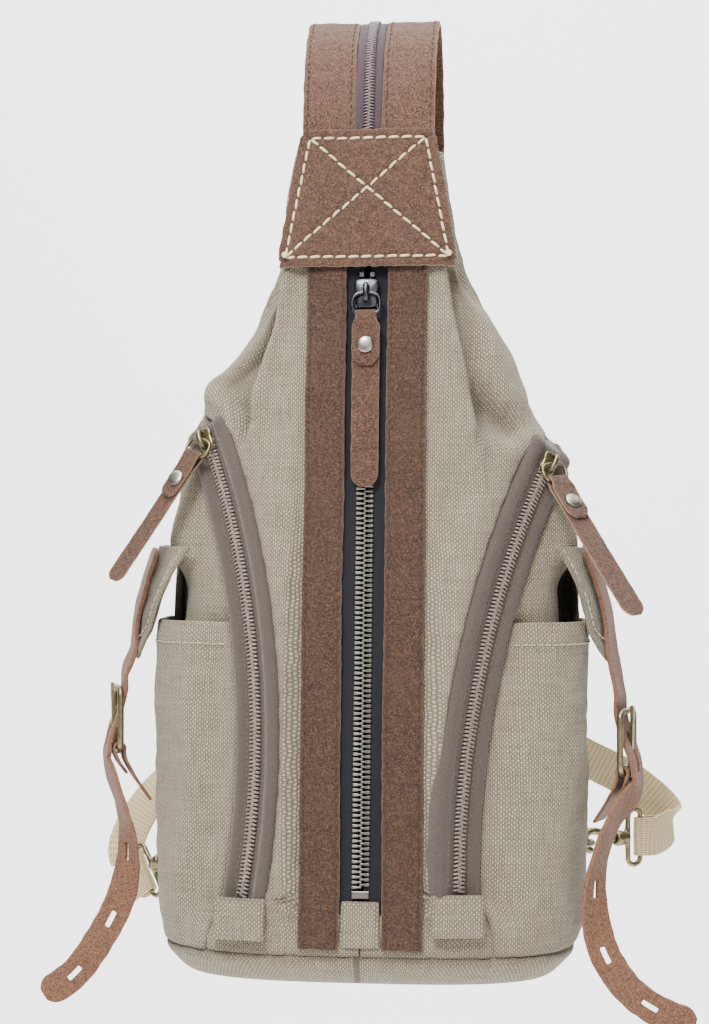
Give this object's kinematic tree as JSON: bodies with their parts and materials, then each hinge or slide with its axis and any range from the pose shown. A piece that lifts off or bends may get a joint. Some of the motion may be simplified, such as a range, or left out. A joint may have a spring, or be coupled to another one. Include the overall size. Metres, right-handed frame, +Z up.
{
  "type": "sling bag",
  "caption": "Teardrop canvas sling bag with leather trim, centre and side zippers, buckled side pockets and a zip-joined strap.",
  "frame": {"origin": "middle of the flat base, on its underside", "axes": "+Z up from the base to the strap loop, -Y the zippered front, +X to the right seen from the front"},
  "size_m": [0.319, 0.1597, 0.4962],
  "materials": {
    "canvas": "coarse plain weave",
    "lining": "smooth weave",
    "foam": "foam",
    "leather": "suede nap",
    "strap_leather": "worn suede",
    "navy_tape": "woven tape",
    "taupe_tape": "woven tape with coil",
    "purple_tape": "woven tape with coil",
    "bright_metal": "polished nickel",
    "gunmetal": "polished gunmetal",
    "antique_brass": "antique brass",
    "webbing": "ribbed cotton webbing"
  },
  "bodies": {
    "root": {"bottom_panel": "canvas", "back_panel": "canvas", "front_panel_left": "canvas", "front_panel_right": "canvas", "side_panel_left": "canvas", "side_panel_right": "canvas", "side_pocket_left": "canvas", "side_pocket_right": "canvas", "front_zip_tab": "canvas", "pocket_zip_tab_left": "canvas", "pocket_zip_tab_right": "canvas", "lining": "lining", "back_padding": "foam", "front_strip_left": "leather", "front_strip_right": "leather", "top_patch": "leather", "strap_leather_left": "leather", "strap_leather_right": "leather", "d_ring_tab_left": "strap_leather", "d_ring_tab_right": "strap_leather", "front_zip_tape": "navy_tape", "pocket_zip_left": "taupe_tape", "pocket_zip_right": "taupe_tape", "strap_zip_tape": "purple_tape", "front_zip_teeth": "bright_metal", "hook_eye_left": "antique_brass", "hook_eye_right": "antique_brass", "webbing_left": "webbing", "webbing_right": "webbing"},
    "front_slider": {"front_slider": "gunmetal"},
    "front_ring": {"front_pull_ring": "gunmetal"},
    "front_pull": {"front_pull": "leather", "front_pull_rivet": "bright_metal"},
    "left_slider": {"left_slider": "antique_brass"},
    "left_ring": {"left_pull_ring": "antique_brass"},
    "left_pull": {"left_pull": "leather", "left_pull_rivet": "bright_metal"},
    "right_slider": {"right_slider": "antique_brass"},
    "right_ring": {"right_pull_ring": "antique_brass"},
    "right_pull": {"right_pull": "leather", "right_pull_rivet": "bright_metal"},
    "strap_slider": {"strap_slider": "antique_brass"},
    "strap_pull": {"strap_pull": "antique_brass"},
    "flap_left": {"flap_left": "canvas", "flap_strap_left": "strap_leather", "buckle_frame_left": "antique_brass", "chape_left": "strap_leather"},
    "flap_right": {"flap_right": "canvas", "flap_strap_right": "strap_leather", "buckle_frame_right": "antique_brass", "chape_right": "strap_leather"},
    "tongue_left": {"buckle_tongue_left": "antique_brass"},
    "tongue_right": {"buckle_tongue_right": "antique_brass"},
    "hook_left": {"hook_body_left": "antique_brass"},
    "hook_right": {"hook_body_right": "antique_brass"},
    "gate_left": {"hook_gate_left": "antique_brass"},
    "gate_right": {"hook_gate_right": "antique_brass"},
    "d_ring_left": {"d_ring_left": "antique_brass"},
    "d_ring_right": {"d_ring_right": "antique_brass"}
  },
  "joints": [
    {"name": "front_zip_slide", "type": "slide", "parent": "root", "child": "front_slider", "axis": [0, -0.1149, -0.9934], "range_m": [0, 0.262]},
    {"name": "front_ring_swing", "type": "hinge", "parent": "front_slider", "child": "front_ring", "pos_m": [0, -0.02919, 0.33061], "axis": [-1, 0, 0], "range_deg": [0, 80]},
    {"name": "front_pull_swing", "type": "hinge", "parent": "front_ring", "child": "front_pull", "pos_m": [0, -0.03046, 0.31969], "axis": [-1, 0, 0], "range_deg": [0, 80]},
    {"name": "left_zip_travel", "type": "hinge", "parent": "root", "child": "left_slider", "pos_m": [-0.37, 0.125, 0.092], "axis": [0.4843, 0.87, -0.0924], "range_deg": [0, 34]},
    {"name": "left_ring_swing", "type": "hinge", "parent": "left_slider", "child": "left_ring", "pos_m": [-0.08163, -0.02322, 0.2597], "axis": [-0.821, 0.4883, 0.2959], "range_deg": [0, 60]},
    {"name": "left_pull_swing", "type": "hinge", "parent": "left_ring", "child": "left_pull", "pos_m": [-0.08568, -0.02533, 0.25195], "axis": [-0.821, 0.4883, 0.2959], "range_deg": [0, 60]},
    {"name": "right_zip_travel", "type": "hinge", "parent": "root", "child": "right_slider", "pos_m": [0.386, 0.187, 0.039], "axis": [0.5817, -0.8126, 0.0366], "range_deg": [0, 27.6]},
    {"name": "right_ring_swing", "type": "hinge", "parent": "right_slider", "child": "right_ring", "pos_m": [0.08971, -0.02163, 0.2474], "axis": [-0.809, -0.5827, -0.078], "range_deg": [0, 60]},
    {"name": "right_pull_swing", "type": "hinge", "parent": "right_ring", "child": "right_pull", "pos_m": [0.09245, -0.02435, 0.23927], "axis": [-0.809, -0.5827, -0.078], "range_deg": [0, 60]},
    {"name": "strap_zip_slide", "type": "slide", "parent": "root", "child": "strap_slider", "axis": [0, -0.024, 0.9997], "range_m": [0, 0.176]},
    {"name": "strap_pull_swing", "type": "hinge", "parent": "strap_slider", "child": "strap_pull", "pos_m": [0, 0.06441, 0.21211], "axis": [1, 0, 0], "range_deg": [0, 90]},
    {"name": "left_flap_lift", "type": "hinge", "parent": "root", "child": "flap_left", "pos_m": [-0.104, 0, 0.2075], "axis": [0, 1, 0], "range_deg": [0, 3]},
    {"name": "right_flap_lift", "type": "hinge", "parent": "root", "child": "flap_right", "pos_m": [0.104, 0, 0.2075], "axis": [0, -1, 0], "range_deg": [0, 3]},
    {"name": "left_tongue_lift", "type": "hinge", "parent": "flap_left", "child": "tongue_left", "pos_m": [-0.127, -0.01, 0.1061], "axis": [0.3429, -0.9394, 0], "range_deg": [0, 32]},
    {"name": "right_tongue_lift", "type": "hinge", "parent": "flap_right", "child": "tongue_right", "pos_m": [0.126, -0.01, 0.0971], "axis": [0.3429, 0.9394, 0], "range_deg": [0, 32]},
    {"name": "left_hook_swivel", "type": "hinge", "parent": "root", "child": "hook_left", "pos_m": [-0.1062, 0.0446, 0.0488], "axis": [-0.6603, 0.5002, -0.5602], "range_deg": [-15, 15]},
    {"name": "right_hook_swivel", "type": "hinge", "parent": "root", "child": "hook_right", "pos_m": [0.1073, 0.0442, 0.054], "axis": [0.8211, 0.5708, 0], "range_deg": [-15, 15]},
    {"name": "left_gate_open", "type": "hinge", "parent": "hook_left", "child": "gate_left", "pos_m": [-0.1132, 0.0499, 0.04], "axis": [-0.6039, -0.7971, 0], "range_deg": [0, 18], "stiffness_Nm_per_rad": 0.002},
    {"name": "right_gate_open", "type": "hinge", "parent": "hook_right", "child": "gate_right", "pos_m": [0.1173, 0.0512, 0.0516], "axis": [-0.5708, 0.8211, 0], "range_deg": [0, 18], "stiffness_Nm_per_rad": 0.002},
    {"name": "left_d_ring_swing", "type": "hinge", "parent": "root", "child": "d_ring_left", "pos_m": [-0.098, 0.0384, 0.05575], "axis": [-0.6039, -0.7971, 0], "range_deg": [-3, 3]},
    {"name": "right_d_ring_swing", "type": "hinge", "parent": "root", "child": "d_ring_right", "pos_m": [0.0971, 0.0371, 0.054], "axis": [-0.5708, 0.8211, 0], "range_deg": [-3, 3]}
  ]
}
